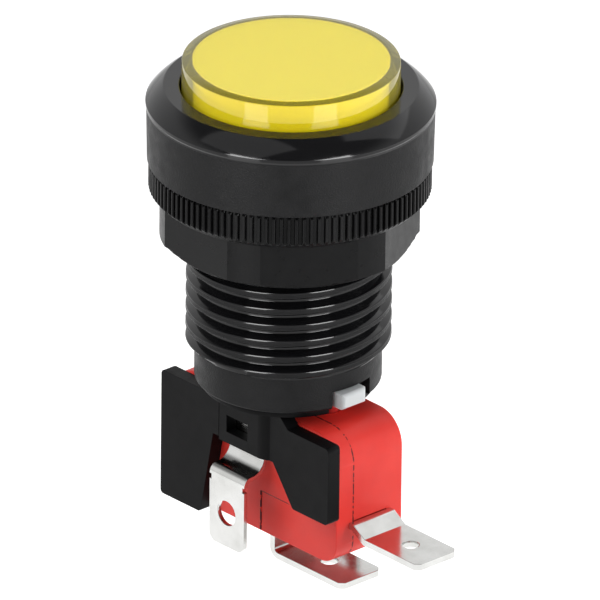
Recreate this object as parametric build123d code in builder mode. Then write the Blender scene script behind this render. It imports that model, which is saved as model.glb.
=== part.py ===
from build123d import *
import os

# Illuminated arcade push button, all sizes in millimetres.
# The origin is the centre of the bezel's underside, where the panel lies.
# +Z points out of the panel through the lens, +X along the switch to its end terminal,
# and -Y to the side that carries the switch cover.

# Bezel cup
bezel_radius = 16.5
bezel_draft = 0.23
bezel_edge_height = 7.2
bezel_height = 9.05
bezel_edge_round = 0.4
bezel_line_depth = 0.1
bezel_line_width = 0.3
bevel_width = 2.0
rim_width = 1.85
bevel_bulge = 0.12
cup_lip_round = 0.45
cup_floor = 1.5

# Threaded barrel and collar
thread_radius = 11.75
thread_length = 22.9
thread_pitch = 2.0
thread_depth = 1.0
thread_crest = 0.62
thread_root = 0.32
thread_lead = 0.24
thread_groove_overcut = 0.2
collar_radius = 10.7
collar_length = 4.3
collar_edge_round = 0.35
collar_wall = 1.3
ledge_depth = 13.0
ledge_thickness = 1.5
notch_width = 5.9
notch_center = 0.35
notch_height = 2.23

# Panel nut
nut_gap = 0.15
nut_flange_radius = 16.1
nut_flange_height = 4.05
nut_flange_chamfer = 0.9
nut_flange_step = 1.3
nut_hex_cut = 1.1
nut_hex_height = 5.8
nut_corner_rise = 0.7
nut_facet_angle = 27.0
nut_bore_clearance = 0.1
nut_knurl_count = 116
nut_knurl_depth = 0.4
nut_knurl_groove = 0.42

# Lens cap and diffuser
lens_stand = 3.25
lens_draft = 0.18
lens_gap = 0.2
lens_wall = 1.1
lens_roof = 0.3
lens_edge_round = 0.2
diffuser_clearance = 0.06
diffuser_wall = 0.9
diffuser_depth = 2.35

# Lens seat
seat_thickness = 0.6
seat_wall = 1.3

# Plunger carrier
press_travel = 1.8
press_spare = 0.7
flange_clearance = 0.5
flange_thickness = 0.6
tube_radius = 7.2
tube_wall = 1.3
tube_clearance = 0.25
hook_height = 1.6
hook_reach = 0.9
hook_width = 4.0
stop_gap = 0.1
leg_width = 4.2
leg_thickness = 1.4
leg_clearance = 0.3
foot_height = 1.85
foot_width = 3.6
foot_center = -0.4
foot_reach = 11.8
foot_inner = 5.7
foot_round = 0.5
foot_gap = 0.15
foot_rest = 0.33

# Return spring
spring_wire = 0.7
spring_turns = 6
spring_seat_gap = 0.05

# Lamp holder
holder_clearance = 0.2
spigot_wall = 1.3
spigot_height = 4.7
plate_radius = 9.9
plate_thickness = 0.8
socket_wall = 0.8
socket_height = 6.7
neck_wall = 1.4
neck_left = -3.3
neck_right = 5.4
neck_bottom = 7.1
neck_column_round = 2.2
neck_flare_drop = 1.3
neck_flare_width = 0.8
window_width = 3.55
window_height = 2.1
window_center = -0.3
window_drop = 4.65
wing_thickness = 1.8
wing_top = 2.2
wing_gusset = 1.5
right_wing_reach = 14.5
right_wing_height = 9.6
right_wing_inner = 8.6
right_wing_slope_start = 5.2
left_wing_reach = 13.8
left_wing_inner = 7.0
left_wing_slope_start = 4.95
wing_round = 0.5
peg_radius = 1.5
peg_length = 9.8

# Lamp
lamp_width = 8.6
lamp_wedge_thickness = 2.36
lamp_wedge_height = 7.9
lamp_clearance = 0.1
lamp_seat = 0.2
lamp_collar_radius = 4.6
lamp_collar_height = 6.5
led_radius = 2.5
led_height = 8.6
led_flange_radius = 2.9
led_flange_height = 1.0
lead_wire = 0.36
lead_offset = 1.6
lead_gap = 0.04
lead_height = 6.2
lead_bend = 0.4
lead_tail_bend = 0.324

# Lamp terminals
lamp_terminal_thickness = 0.6
lamp_terminal_width = 5.8
lamp_terminal_center = -0.2
lamp_terminal_clearance = 0.05
lamp_terminal_face_gap = 0.25
lamp_terminal_inner_top = 6.0
lamp_terminal_spread = 8.8
lamp_terminal_shoulder = 9.9
lamp_terminal_tip = 19.1
lamp_terminal_flat = 0.15
lamp_terminal_bend = 0.75
lamp_terminal_crease = 0.4
lamp_terminal_hole = 1.5
lamp_terminal_hole_drop = 14.85
lamp_terminal_notch = 0.6
lamp_terminal_notch_drop = 11.05
lamp_terminal_tip_chamfer = 0.7

# Microswitch
switch_length = 27.8
switch_width = 10.3
switch_height = 15.9
switch_top_round = 3.75
switch_bottom_round = 2.5
switch_edge_round = 0.3
switch_cover_thickness = 2.7
label_step = 0.12
label_left = 1.25
label_drop = 10.8
switch_wall = 1.5
mount_inset = 2.8
mount_spacing_z = 10.3
mount_hole_radius = 1.55
mount_rise = 0.1
mount_boss_radius = 2.3

# Switch pin and blade
pin_radius = 1.1
pin_place = 7.0
pin_clearance = 0.1
pin_gap = 0.1
pin_flange_radius = 1.5
pin_flange_height = 0.8
pin_length = 8.98
pin_tip_chamfer = 0.6
pin_top_round = 0.3
blade_thickness = 0.3
blade_width = 4.0
blade_gap = 0.15
blade_pivot = 7.1
blade_tail = 0.6
contact_place = 9.4
contact_radius = 1.3
contact_height = 0.58
contact_gap = 0.25

# Switch terminals
terminal_thickness = 0.8
terminal_width = 6.3
terminal_inner_width = 5.0
terminal_center = 0.1
terminal_slot_clearance = 0.05
terminal_bend = 0.9
terminal_tip_chamfer = 0.6
com_place = 0.95
com_drop = 3.65
com_reach = 12.75
com_hole_inset = 5.5
no_length = 11.5
no_jog_gap = 0.6
no_jog_run = 1.9
no_jog_drop = 1.2
terminal_hole_radius = 1.0
no_hole_inset = 4.55
no_inner = 7.6

# Places that follow from the sizes above
bezel_line_top = bezel_edge_height - bezel_edge_round
cup_radius = bezel_radius - bevel_width - rim_width
lens_radius = cup_radius - lens_gap
lens_top = bezel_height + lens_stand
lens_top_radius = lens_radius - lens_draft
flange_bottom = cup_floor + press_travel + press_spare
flange_top = flange_bottom + flange_thickness
seat_top = flange_top + seat_thickness
seat_radius = cup_radius - flange_clearance
diffuser_radius = lens_top_radius - lens_wall
diffuser_top = lens_top - lens_roof - diffuser_clearance
diffuser_bottom = diffuser_top - diffuser_depth
barrel_bore = collar_radius - collar_wall
ledge_bottom = -ledge_depth - ledge_thickness
collar_bottom = -thread_length - collar_length
thread_root_radius = thread_radius - thread_depth
foot_top = collar_bottom + notch_height - foot_gap
foot_bottom = foot_top - foot_height
nut_corner_radius = nut_flange_radius - nut_flange_step
nut_hex_apothem = nut_corner_radius - nut_hex_cut
nut_top = -nut_gap
nut_flange_bottom = nut_top - nut_flange_height
nut_bottom = nut_flange_bottom - nut_hex_height
plate_bottom = collar_bottom - plate_thickness
switch_top = foot_bottom - press_travel - foot_rest
switch_bottom = switch_top - switch_height
switch_middle = (switch_top + switch_bottom) / 2
switch_face = switch_width / 2
parting = -switch_face + switch_cover_thickness
strip_place = switch_face + lamp_terminal_face_gap + lamp_terminal_thickness / 2
neck_face = strip_place + lamp_terminal_thickness / 2 + neck_wall + lamp_clearance
mount_level = switch_middle + mount_rise
left_mount = (-switch_length / 2 + mount_inset, mount_level - mount_spacing_z / 2)
right_mount = (switch_length / 2 - mount_inset, mount_level + mount_spacing_z / 2)
pin_top = foot_bottom - pin_gap
pin_bottom = pin_top - pin_length
blade_top = pin_bottom - blade_gap
blade_bottom = blade_top - blade_thickness
blade_arm = blade_pivot + pin_place
contact_travel = press_travel * (contact_place + blade_pivot) / blade_arm
fixed_contact_top = blade_bottom - contact_height - contact_travel - contact_gap
no_top = fixed_contact_top - contact_height
no_level = no_top - terminal_thickness / 2

os.makedirs("parts", exist_ok=True)


# Thread: sleeve round the barrel with one helical groove, right-handed
thread_flank = (thread_pitch - thread_crest - thread_root) / 2
groove_depth = thread_depth + thread_groove_overcut
groove_half = thread_root / 2 + thread_flank * groove_depth / thread_depth
with BuildPart() as thread:
    with BuildSketch(Plane.XY):
        Circle(thread_radius)
        Circle((barrel_bore + thread_root_radius) / 2, mode=Mode.SUBTRACT)
    extrude(amount=-thread_length)
    with BuildLine() as groove_line:
        Helix(
            pitch=thread_pitch,
            height=thread_length + 2 * thread_pitch,
            radius=thread_root_radius,
            center=(0, 0, thread_lead - thread_length - thread_pitch),
        )
    groove_start = Plane(
        origin=groove_line.line @ 0, x_dir=(1, 0, 0), z_dir=groove_line.line % 0
    )
    with BuildSketch(groove_start):
        with BuildLine():
            Polyline(
                (0, thread_root / 2),
                (groove_depth, groove_half),
                (groove_depth, -groove_half),
                (0, -thread_root / 2),
                close=True,
            )
        make_face()
    sweep(path=groove_line.line, is_frenet=True, mode=Mode.SUBTRACT)


# Housing: bezel cup, threaded barrel, inner ledge and notched collar in one moulding
barrel_core = (barrel_bore + 3 * thread_root_radius) / 4
with BuildPart() as housing:
    with BuildSketch(Plane.XZ):
        with BuildLine():
            bore_line = Line((barrel_bore, collar_bottom), (barrel_bore, cup_floor))
            floor_line = Line(bore_line @ 1, (cup_radius, cup_floor))
            cup_line = Line(floor_line @ 1, (cup_radius, bezel_height - cup_lip_round))
            lip_arc = RadiusArc(
                cup_line @ 1, (cup_radius + cup_lip_round, bezel_height), cup_lip_round
            )
            ring_line = Line(lip_arc @ 1, (bezel_radius - bevel_width, bezel_height))
            bevel_arc = SagittaArc(ring_line @ 1, (bezel_radius, bezel_edge_height), bevel_bulge)
            edge_line = Line(bevel_arc @ 1, (bezel_radius, bezel_line_top))
            step_line = Line(
                edge_line @ 1, (bezel_radius - bezel_line_depth, bezel_line_top - bezel_line_width)
            )
            side_line = Line(step_line @ 1, (bezel_radius - bezel_draft, 0))
            under_line = Line(side_line @ 1, (barrel_core, 0))
            core_line = Line(under_line @ 1, (barrel_core, -thread_length))
            shoulder_line = Line(core_line @ 1, (collar_radius, -thread_length))
            collar_line = Line(shoulder_line @ 1, (collar_radius, collar_bottom))
            Line(collar_line @ 1, bore_line @ 0)
        make_face()
    revolve(axis=Axis.Z)
    with BuildSketch(Plane.XY.offset(-ledge_depth)):
        Circle(barrel_bore)
        Circle(tube_radius + tube_clearance, mode=Mode.SUBTRACT)
        with Locations((barrel_bore, 0)):
            Rectangle(
                2 * (barrel_bore - tube_radius + tube_wall),
                leg_width + 2 * leg_clearance,
                mode=Mode.SUBTRACT,
            )
    extrude(amount=-ledge_thickness)
    fillet(
        housing.edges().filter_by(GeomType.CIRCLE).group_by(Axis.Z)[0].sort_by(SortBy.RADIUS)[-1],
        collar_edge_round,
    )
    with BuildSketch(Plane.XY.offset(collar_bottom)):
        with Locations((collar_radius, notch_center)):
            Rectangle(2 * (collar_radius - tube_radius), notch_width)
    extrude(amount=notch_height, mode=Mode.SUBTRACT)
    add(thread.part)
housing.part.label = "housing"
export_step(housing.part, "parts/housing.step")


# Panel nut: knurled round flange over a hexagon with turned corners
with BuildPart() as panel_nut:
    with BuildSketch(Plane.XY.offset(nut_bottom)):
        RegularPolygon(nut_hex_apothem, 6, major_radius=False, rotation=nut_facet_angle - 30)
        Circle(nut_corner_radius, mode=Mode.INTERSECT)
    extrude(amount=nut_hex_height)
    with BuildSketch(Plane.XZ):
        with BuildLine():
            Polyline(
                (nut_hex_apothem, nut_bottom),
                (nut_flange_radius, nut_bottom),
                (nut_flange_radius, nut_bottom + nut_corner_rise),
                (nut_corner_radius, nut_bottom + nut_corner_rise),
                close=True,
            )
        make_face()
    revolve(axis=Axis.Z, mode=Mode.SUBTRACT)
    with BuildSketch(Plane.XY.offset(nut_flange_bottom)):
        Circle(nut_flange_radius)
        with PolarLocations(nut_flange_radius, nut_knurl_count):
            Rectangle(2 * nut_knurl_depth, nut_knurl_groove, mode=Mode.SUBTRACT)
    extrude(amount=nut_flange_height)
    with BuildSketch(Plane.XZ):
        with BuildLine():
            Polyline(
                (nut_flange_radius - nut_flange_chamfer, nut_flange_bottom),
                (nut_flange_radius + nut_flange_chamfer, nut_flange_bottom),
                (nut_flange_radius + nut_flange_chamfer, nut_flange_bottom + 2 * nut_flange_chamfer),
                close=True,
            )
        make_face()
    revolve(axis=Axis.Z, mode=Mode.SUBTRACT)
    with Locations((0, 0, nut_top)):
        Hole(thread_radius + nut_bore_clearance)
panel_nut.part.label = "panel_nut"
export_step(panel_nut.part, "parts/panel_nut.step")


# Lens cap: clear cap with a thin roof and a thick drafted skirt
with BuildPart() as lens_cap:
    with BuildSketch(Plane.XZ):
        with BuildLine():
            Polyline(
                (0, lens_top),
                (lens_top_radius, lens_top),
                (lens_radius, bezel_height),
                (lens_radius, seat_top),
                (diffuser_radius + diffuser_clearance, seat_top),
                (diffuser_radius + diffuser_clearance, lens_top - lens_roof),
                (0, lens_top - lens_roof),
                close=True,
            )
        make_face()
    revolve(axis=Axis.Z)
    fillet(
        lens_cap.edges().filter_by(GeomType.CIRCLE).group_by(Axis.Z)[-1],
        lens_edge_round,
    )
lens_cap.part.label = "lens_cap"
export_step(lens_cap.part, "parts/lens_cap.step")


# Diffuser: coloured shallow cup under the lens
with BuildPart() as diffuser:
    with BuildSketch(Plane.XY.offset(diffuser_bottom)):
        Circle(diffuser_radius)
    extrude(amount=diffuser_depth)
    with BuildSketch(Plane.XY.offset(diffuser_bottom)):
        Circle(diffuser_radius - diffuser_wall)
    extrude(amount=diffuser_depth - diffuser_wall, mode=Mode.SUBTRACT)
diffuser.part.label = "diffuser"
export_step(diffuser.part, "parts/diffuser.step")


# Lens seat: black ring on the carrier that holds the lens and the diffuser
with BuildPart() as lens_seat:
    with BuildSketch(Plane.XZ):
        with BuildLine():
            Polyline(
                (diffuser_radius - seat_wall, flange_top),
                (seat_radius, flange_top),
                (seat_radius, seat_top),
                (diffuser_radius, seat_top),
                (diffuser_radius, diffuser_bottom),
                (diffuser_radius - seat_wall, diffuser_bottom),
                close=True,
            )
        make_face()
    revolve(axis=Axis.Z)
lens_seat.part.label = "lens_seat"
export_step(lens_seat.part, "parts/lens_seat.step")


# Plunger carrier: flange, guide tube with stop hooks, and the leg and foot
tube_bottom = ledge_bottom - stop_gap - hook_height
leg_outer = barrel_bore - leg_clearance
with BuildPart() as plunger_carrier:
    with BuildSketch(Plane.XY.offset(flange_bottom)):
        Circle(seat_radius)
        Circle(tube_radius - tube_wall, mode=Mode.SUBTRACT)
    extrude(amount=flange_thickness)
    with BuildSketch(Plane.XY.offset(tube_bottom)):
        Circle(tube_radius)
        Circle(tube_radius - tube_wall, mode=Mode.SUBTRACT)
    extrude(amount=flange_bottom - tube_bottom)
    with BuildSketch(Plane.XY.offset(tube_bottom)):
        Circle(tube_radius + hook_reach)
        Circle(tube_radius - tube_wall / 2, mode=Mode.SUBTRACT)
        Rectangle(hook_width, 2 * (tube_radius + hook_reach), mode=Mode.INTERSECT)
    extrude(amount=hook_height)
    with BuildSketch(Plane.XY.offset(tube_bottom)):
        with Locations(((tube_radius - tube_wall / 2 + leg_outer) / 2, 0)):
            Rectangle(leg_outer - tube_radius + tube_wall / 2, leg_width)
    extrude(amount=hook_height)
    with BuildSketch(Plane.XY.offset(foot_bottom)):
        with Locations((leg_outer - leg_thickness / 2, 0)):
            Rectangle(leg_thickness, leg_width)
    extrude(amount=tube_bottom - foot_bottom)
    with BuildSketch(Plane.XY.offset(foot_bottom)):
        with Locations(((foot_inner + foot_reach) / 2, foot_center)):
            Rectangle(foot_reach - foot_inner, foot_width)
    extrude(amount=foot_height)
    foot_face = plunger_carrier.faces().sort_by(Axis.X)[-1]
    fillet(foot_face.edges(), foot_round)
plunger_carrier.part.label = "plunger_carrier"
export_step(plunger_carrier.part, "parts/plunger_carrier.step")


# Return spring: round wire coil between the ledge and the carrier's flange
spring_radius = (tube_radius + barrel_bore) / 2
spring_bottom = -ledge_depth + spring_wire / 2 + spring_seat_gap
spring_top = flange_bottom - spring_wire / 2 - spring_seat_gap
with BuildPart() as return_spring:
    with BuildLine() as spring_line:
        Helix(
            pitch=(spring_top - spring_bottom) / spring_turns,
            height=spring_top - spring_bottom,
            radius=spring_radius,
            center=(0, 0, spring_bottom),
        )
    with BuildSketch(Plane(origin=spring_line.line @ 0, z_dir=spring_line.line % 0)):
        Circle(spring_wire / 2)
    sweep(path=spring_line.line, is_frenet=True)
return_spring.part.label = "return_spring"
export_step(return_spring.part, "parts/return_spring.step")


# Lamp holder: spigot, plate, lamp socket, front and rear necks, front wings and pegs
strip_width = lamp_terminal_width + 2 * lamp_terminal_clearance
strip_bay = lamp_terminal_thickness + 2 * lamp_clearance
socket_length = lamp_width + 2 * (lamp_clearance + socket_wall)
contact_face = lamp_wedge_thickness / 2 + lead_gap + lead_wire
socket_slot = 2 * (contact_face + lamp_terminal_thickness + lamp_clearance)
wing_level = collar_bottom - wing_top
left_wing_bottom = switch_bottom
wing_plane = Plane.XZ.offset(switch_face)
with BuildPart() as lamp_holder:
    with BuildSketch(Plane.XY.offset(collar_bottom)):
        Circle(barrel_bore - holder_clearance)
        Circle(barrel_bore - holder_clearance - spigot_wall, mode=Mode.SUBTRACT)
    extrude(amount=spigot_height)
    with BuildSketch(Plane.XY.offset(plate_bottom)):
        Circle(plate_radius)
    extrude(amount=plate_thickness)
    with BuildSketch(Plane.XY.offset(plate_bottom)):
        Rectangle(socket_length, socket_slot + 2 * socket_wall)
    extrude(amount=plate_thickness + socket_height)
    for side in (-1, 1):
        with BuildSketch(Plane.XY.offset(plate_bottom)):
            with BuildLine():
                facets = Polyline(
                    (neck_right, side * switch_face),
                    (neck_left - neck_wall, side * switch_face),
                    (neck_left - neck_wall, side * (neck_face - neck_wall)),
                    (neck_left, side * neck_face),
                    (neck_right - neck_column_round, side * neck_face),
                )
                column = RadiusArc(
                    facets @ 1,
                    (neck_right, side * (neck_face - neck_column_round)),
                    side * neck_column_round,
                )
                Line(column @ 1, facets @ 0)
            make_face()
        extrude(amount=-(neck_bottom - plate_thickness))
        facet = lamp_holder.faces().filter_by(GeomType.PLANE).filter_by(
            lambda face: face.normal_at().X < -0.5 and face.normal_at().Y * side > 0.5
        )
        root_edge = facet.edges().filter_by(Axis.Z, reverse=True).sort_by(Axis.Z)[-1]
        chamfer(root_edge, neck_flare_drop, neck_flare_width, reference=facet[0])
    with BuildSketch(wing_plane) as wings:
        with BuildLine():
            Polyline(
                (neck_right - neck_wall, collar_bottom - plate_thickness),
                (neck_right + wing_gusset / 2, collar_bottom - plate_thickness),
                (neck_right + wing_gusset / 2 + wing_gusset, wing_level),
                (right_wing_reach, wing_level),
                (right_wing_reach, wing_level - right_wing_height),
                (right_wing_inner, wing_level - right_wing_height),
                (right_wing_slope_start, collar_bottom - neck_bottom),
                (neck_right - neck_wall, collar_bottom - neck_bottom),
                close=True,
            )
        make_face()
        with BuildLine():
            Polyline(
                (neck_left - neck_wall / 2, wing_level),
                (-left_wing_reach, wing_level),
                (-left_wing_reach, left_wing_bottom),
                (-left_wing_inner, left_wing_bottom),
                (-left_wing_slope_start, collar_bottom - neck_bottom),
                (neck_left - neck_wall / 2, collar_bottom - neck_bottom),
                close=True,
            )
        make_face()
        wing_corners = wings.vertices().sort_by(Axis.X)
        fillet(wing_corners[:3] + wing_corners[-5:], wing_round)
    extrude(amount=wing_thickness)
    with BuildSketch(Plane.XY.offset(collar_bottom + spigot_height)):
        with Locations((plate_radius, 0)):
            Rectangle(2 * (plate_radius - foot_inner + leg_clearance), leg_width + 2 * leg_clearance)
    extrude(amount=-(spigot_height + plate_thickness), mode=Mode.SUBTRACT)
    with BuildSketch(Plane.XY.offset(plate_bottom)):
        Rectangle(lamp_width + 2 * lamp_clearance, socket_slot)
    extrude(amount=plate_thickness + socket_height, mode=Mode.SUBTRACT)
    for side in (-1, 1):
        with BuildSketch(Plane.XY.offset(plate_bottom)):
            with Locations((lamp_terminal_center, side * strip_place)):
                Rectangle(strip_width, strip_bay)
            with Locations((lamp_terminal_center, side * (switch_face + strip_place) / 2)):
                Rectangle(strip_width, strip_place - switch_face)
        extrude(amount=-neck_bottom, mode=Mode.SUBTRACT)
        with BuildSketch(Plane.XZ.offset(side * neck_face)):
            with Locations((window_center, collar_bottom - window_drop)):
                Rectangle(window_width, window_height)
        extrude(amount=-side * 2 * neck_wall, mode=Mode.SUBTRACT)
    with BuildSketch(wing_plane):
        with Locations(left_mount, right_mount):
            Circle(peg_radius)
    extrude(amount=-peg_length)
lamp_holder.part.label = "lamp_holder"
export_step(lamp_holder.part, "parts/lamp_holder.step")


# Lamp: wedge base with a round collar, epoxy dome and two bent leads
wedge_bottom = collar_bottom - lamp_seat
wedge_top = wedge_bottom + lamp_wedge_height
with BuildPart() as lamp_base:
    with BuildSketch(Plane.XY.offset(wedge_bottom)):
        Rectangle(lamp_width, lamp_wedge_thickness)
    extrude(amount=lamp_wedge_height)
    with BuildSketch(Plane.XY.offset(wedge_top)):
        Circle(lamp_collar_radius)
    extrude(amount=lamp_collar_height)
lamp_base.part.label = "lamp_base"
export_step(lamp_base.part, "parts/lamp_base.step")

led_bottom = wedge_top + lamp_collar_height
with BuildPart() as led_dome:
    with BuildSketch(Plane.XZ):
        with BuildLine():
            foot_edge = Polyline(
                (0, led_bottom),
                (led_flange_radius, led_bottom),
                (led_flange_radius, led_bottom + led_flange_height),
                (led_radius, led_bottom + led_flange_height),
                (led_radius, led_bottom + led_height - led_radius),
            )
            dome_arc = RadiusArc(foot_edge @ 1, (0, led_bottom + led_height), -led_radius)
            Line(dome_arc @ 1, foot_edge @ 0)
        make_face()
    revolve(axis=Axis.Z)
led_dome.part.label = "led_dome"
export_step(led_dome.part, "parts/led_dome.step")

lead_face = lamp_wedge_thickness / 2 + lead_gap / 2 + lead_wire / 2
for name, side in (("lamp_lead_front", -1), ("lamp_lead_rear", 1)):
    with BuildPart() as lamp_lead:
        with BuildLine(Plane.YZ.offset(-side * lead_offset)) as lead_line:
            FilletPolyline(
                (0, wedge_bottom),
                (0, wedge_bottom - lead_wire),
                (side * lead_face, wedge_bottom - lead_wire),
                (side * lead_face, wedge_bottom + lead_height),
                radius=[lead_tail_bend, lead_bend],
            )
        with BuildSketch(Plane(origin=lead_line.line @ 0, z_dir=lead_line.line % 0)):
            Circle(lead_wire / 2)
        sweep(path=lead_line.line)
    lamp_lead.part.label = name
    export_step(lamp_lead.part, f"parts/{name}.step")


# Lamp terminals: strip from the socket over the switch, down its face and out to a blade
contact_strip = contact_face + lamp_terminal_thickness / 2
run_level = plate_bottom - lamp_terminal_thickness / 2
shoulder_level = collar_bottom - lamp_terminal_shoulder
tip_level = collar_bottom - lamp_terminal_tip
lamp_terminal_cove = lamp_terminal_spread - strip_place - lamp_terminal_bend - lamp_terminal_flat
for name, side in (("lamp_terminal_front", -1), ("lamp_terminal_rear", 1)):
    with BuildPart() as lamp_terminal:
        with BuildLine(Plane.YZ.offset(lamp_terminal_center)) as strip_line:
            FilletPolyline(
                (side * contact_strip, collar_bottom + lamp_terminal_inner_top),
                (side * contact_strip, run_level),
                (side * strip_place, run_level),
                (side * strip_place, shoulder_level),
                (side * lamp_terminal_spread, shoulder_level),
                (side * lamp_terminal_spread, tip_level),
                radius=[
                    lamp_terminal_crease,
                    lamp_terminal_bend,
                    lamp_terminal_cove,
                    lamp_terminal_bend,
                ],
            )
        strip_start = Plane(
            origin=strip_line.line @ 0, x_dir=(1, 0, 0), z_dir=strip_line.line % 0
        )
        with BuildSketch(strip_start):
            Rectangle(lamp_terminal_width, lamp_terminal_thickness)
        sweep(path=strip_line.line)
        tip_face = lamp_terminal.faces().sort_by(Axis.Z)[0]
        chamfer(tip_face.edges().filter_by(Axis.Y), lamp_terminal_tip_chamfer)
        with BuildSketch(Plane.XZ.offset(-side * (lamp_terminal_spread + lamp_terminal_thickness))):
            with Locations((lamp_terminal_center, collar_bottom - lamp_terminal_hole_drop)):
                Circle(lamp_terminal_hole)
            with Locations((lamp_terminal_center, collar_bottom - lamp_terminal_notch_drop)):
                with GridLocations(lamp_terminal_width, 0, 2, 1):
                    Rectangle(lamp_terminal_notch, lamp_terminal_notch)
        extrude(amount=side * 2 * lamp_terminal_thickness, mode=Mode.SUBTRACT)
    lamp_terminal.part.label = name
    export_step(lamp_terminal.part, f"parts/{name}.step")


# Switch case and cover share one outline, split at the parting plane
def switch_outline():
    with BuildSketch(mode=Mode.PRIVATE) as outline:
        with Locations((0, switch_middle)):
            Rectangle(switch_length, switch_height)
        corners = outline.vertices().group_by(Axis.Y)
        fillet(corners[-1], switch_top_round)
        fillet(outline.vertices().group_by(Axis.Y)[0], switch_bottom_round)
        with Locations(left_mount, right_mount):
            Circle(mount_hole_radius, mode=Mode.SUBTRACT)
    return outline.sketch


slot_thickness = terminal_thickness + 2 * terminal_slot_clearance
slot_depth = terminal_center + terminal_inner_width / 2 + terminal_slot_clearance - parting
with BuildPart() as switch_case:
    with BuildSketch(Plane.XZ.offset(-parting)):
        add(switch_outline())
    extrude(amount=-(switch_face - parting))
    with BuildSketch(Plane.XZ.offset(-parting)):
        with Locations((0, switch_middle)):
            Rectangle(switch_length - 2 * switch_wall, switch_height - 2 * switch_wall)
        with Locations(left_mount, right_mount):
            Circle(mount_boss_radius, mode=Mode.SUBTRACT)
        for place, step in ((left_mount, -1), (right_mount, 1)):
            with Locations((place[0] + step * mount_boss_radius, place[1] + step * mount_boss_radius)):
                Rectangle(2 * mount_boss_radius, 4 * mount_boss_radius, mode=Mode.SUBTRACT)
                Rectangle(4 * mount_boss_radius, 2 * mount_boss_radius, mode=Mode.SUBTRACT)
    extrude(amount=-(switch_face - parting - switch_wall), mode=Mode.SUBTRACT)
    with BuildSketch(Plane.XZ.offset(-parting)):
        with Locations((com_place, switch_bottom + switch_wall / 2)):
            Rectangle(slot_thickness, 2 * switch_wall)
        with Locations((switch_length / 2 - switch_wall / 2, no_level)):
            Rectangle(2 * switch_wall, slot_thickness)
    extrude(amount=-slot_depth, mode=Mode.SUBTRACT)
    with BuildSketch(Plane.XY.offset(switch_top)):
        with Locations((pin_place, 0)):
            Circle(pin_radius + pin_clearance)
    extrude(amount=-2 * switch_wall, mode=Mode.SUBTRACT)
    rear_rim = switch_case.faces().sort_by(Axis.Y)[-1].outer_wire().edges()
    fillet(rear_rim, switch_edge_round)
switch_case.part.label = "switch_case"
export_step(switch_case.part, "parts/switch_case.step")

with BuildPart() as switch_cover:
    with BuildSketch(Plane.XZ.offset(-parting)):
        add(switch_outline())
    extrude(amount=switch_cover_thickness)
    front_rim = switch_cover.faces().sort_by(Axis.Y)[0].outer_wire().edges()
    fillet(front_rim, switch_edge_round)
    with BuildSketch(Plane.XZ.offset(switch_face)):
        with Locations((label_left, switch_top - label_drop)):
            Rectangle(switch_length, switch_height, align=(Align.MIN, Align.MAX))
    extrude(amount=-label_step, mode=Mode.SUBTRACT)
switch_cover.part.label = "switch_cover"
export_step(switch_cover.part, "parts/switch_cover.step")


# Switch pin: turned pin with a stop flange under the case roof
with BuildPart() as switch_plunger:
    with BuildSketch(Plane.XY.offset(pin_top)):
        with Locations((pin_place, 0)):
            Circle(pin_radius)
    extrude(amount=-pin_length)
    with BuildSketch(Plane.XY.offset(switch_top - switch_wall - pin_gap)):
        with Locations((pin_place, 0)):
            Circle(pin_flange_radius)
    extrude(amount=-pin_flange_height)
    pin_rims = switch_plunger.edges().filter_by(GeomType.CIRCLE).sort_by(Axis.Z)
    chamfer(pin_rims[0], pin_tip_chamfer)
    fillet(switch_plunger.edges().filter_by(GeomType.CIRCLE).sort_by(Axis.Z)[-1], pin_top_round)
switch_plunger.part.label = "switch_plunger"
export_step(switch_plunger.part, "parts/switch_plunger.step")


# Snap blade with its moving contact, carried on the common terminal's riser
blade_start = -blade_pivot - blade_tail
blade_end = contact_place + contact_radius
with BuildPart() as snap_blade:
    with BuildSketch(Plane.XY.offset(blade_bottom)):
        with Locations(((blade_start + blade_end) / 2, terminal_center)):
            Rectangle(blade_end - blade_start, blade_width)
            RectangleRounded(
                blade_end - blade_start - 2 * blade_width,
                blade_width / 2,
                blade_width / 8,
                mode=Mode.SUBTRACT,
            )
        with Locations((pin_place, terminal_center)):
            Circle(blade_width / 2)
    extrude(amount=blade_thickness)
snap_blade.part.label = "snap_blade"
export_step(snap_blade.part, "parts/snap_blade.step")

with BuildPart() as moving_contact:
    with BuildSketch(Plane.XY.offset(blade_bottom)):
        with Locations((contact_place, terminal_center)):
            Circle(contact_radius)
    extrude(amount=-contact_height)
    fillet(moving_contact.edges().sort_by(Axis.Z)[0], contact_height / 3)
moving_contact.part.label = "moving_contact"
export_step(moving_contact.part, "parts/moving_contact.step")


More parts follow.
